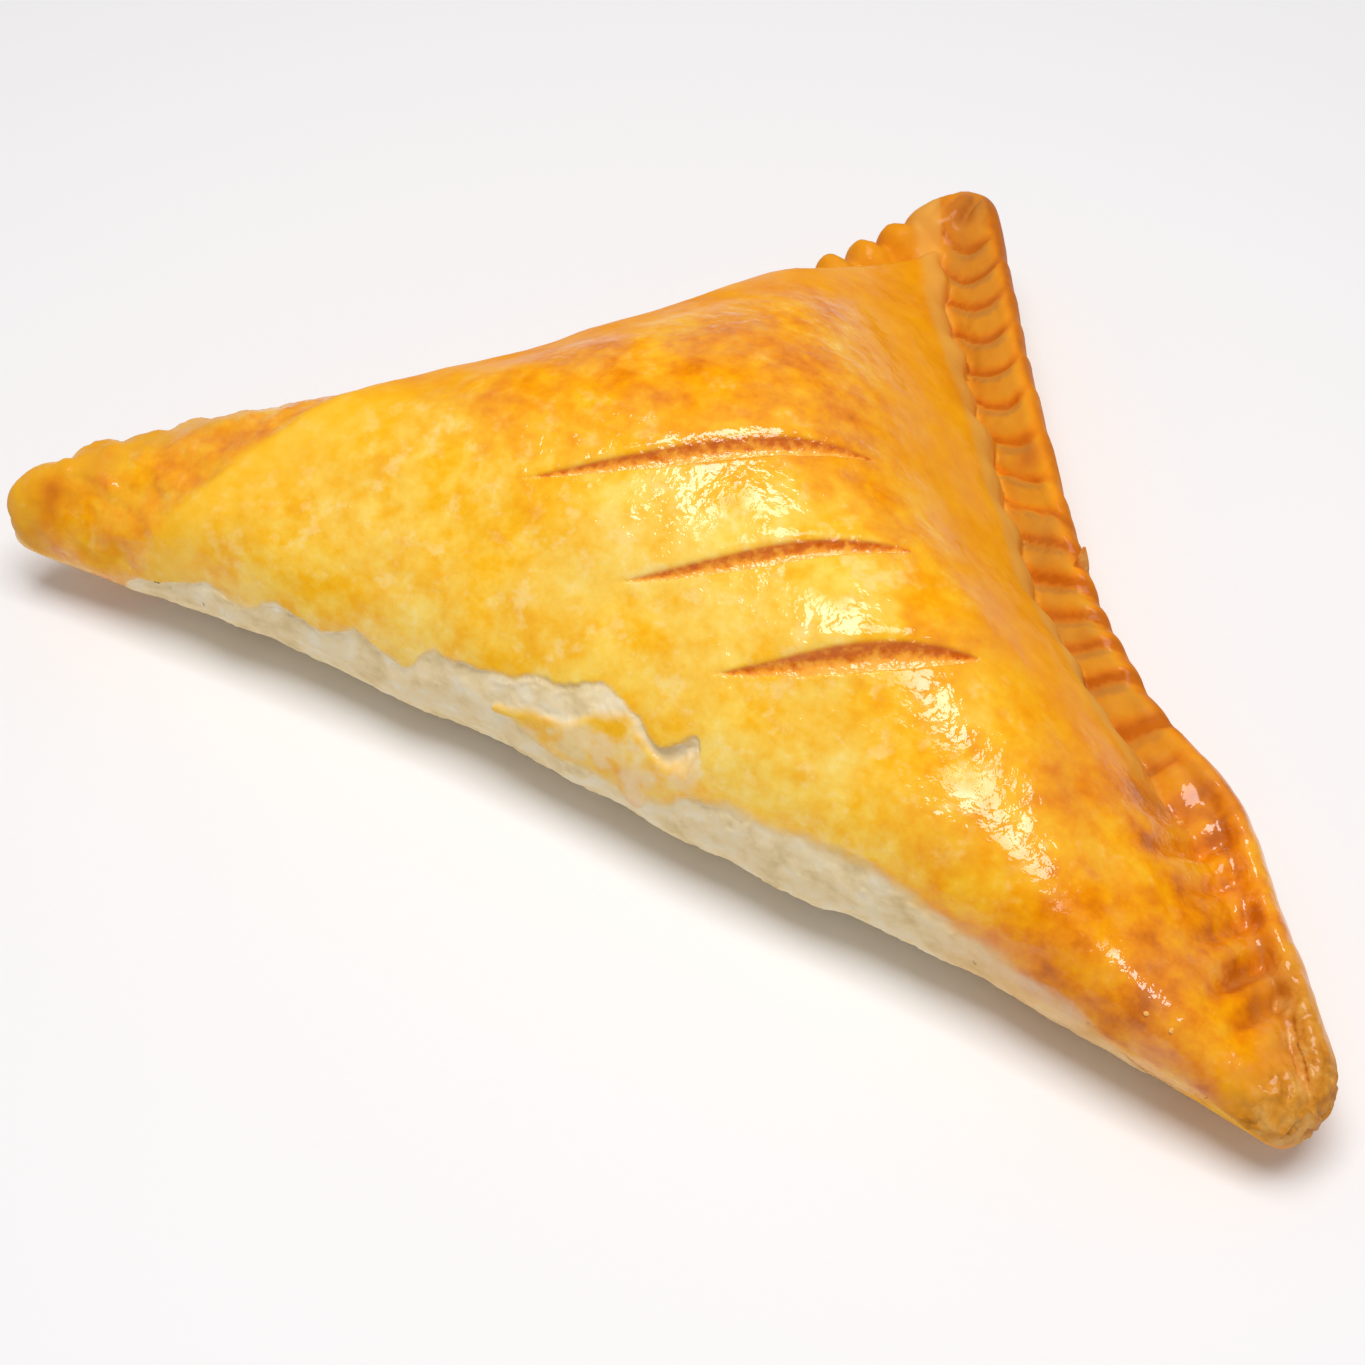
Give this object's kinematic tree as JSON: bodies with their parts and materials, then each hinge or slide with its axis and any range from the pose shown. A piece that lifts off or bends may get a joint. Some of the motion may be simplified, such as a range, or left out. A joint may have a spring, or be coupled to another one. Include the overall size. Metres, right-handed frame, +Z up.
{
  "type": "chicken puff",
  "caption": "Triangular puff pastry turnover with a domed golden crust, fork-crimped legs, slits across the top and a pale layered fold side.",
  "frame": {"origin": "centre of the bounding box in plan, on the table under the pastry", "axes": "+X along the fold from the left tip to the right tip, +Y from the fold to the apex, +Z up"},
  "size_m": [0.172, 0.1118, 0.0391],
  "materials": {
    "crust": "baked, egg-washed, satin"
  },
  "bodies": {
    "root": {"pastry": "crust"}
  },
  "joints": []
}
